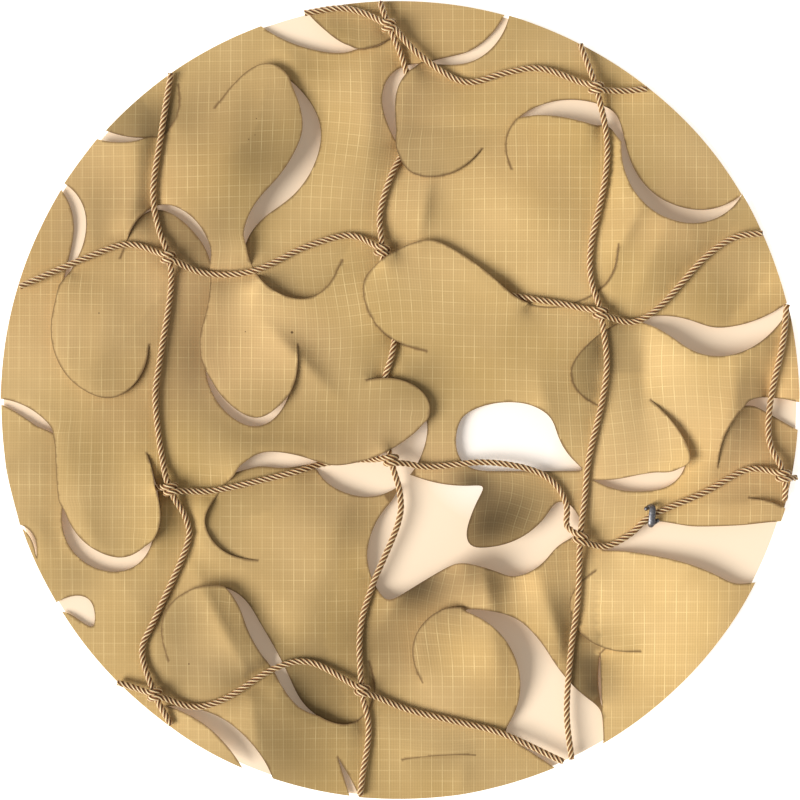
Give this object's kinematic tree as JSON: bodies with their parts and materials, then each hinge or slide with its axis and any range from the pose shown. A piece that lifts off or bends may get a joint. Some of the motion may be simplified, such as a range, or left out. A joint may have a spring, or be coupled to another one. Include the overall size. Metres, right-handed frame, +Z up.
{
  "type": "camouflage netting, cut length of incised cloth on a knotted cord net",
  "caption": "Round cut length of tan incised ripstop camouflage cloth with lifted tongues, lying with its knotted cord net.",
  "frame": {"origin": "middle of the round, on the surface that it lies on", "axes": "+X across the net's weft cords, +Y up its warp cords, +Z up from the surface"},
  "size_m": [0.36, 0.36, 0.0133],
  "materials": {
    "tan_ripstop": "matte ripstop weave",
    "golden_twine": "matte twisted cord",
    "grey_metal": "dull grey"
  },
  "bodies": {
    "root": {"cloth": "tan_ripstop", "warp_cord_1": "golden_twine", "warp_cord_2": "golden_twine", "warp_cord_3": "golden_twine", "warp_cord_4": "golden_twine", "weft_cord_0": "golden_twine", "weft_cord_1": "golden_twine", "weft_cord_2": "golden_twine", "weft_cord_3": "golden_twine", "clip": "grey_metal"}
  },
  "joints": []
}
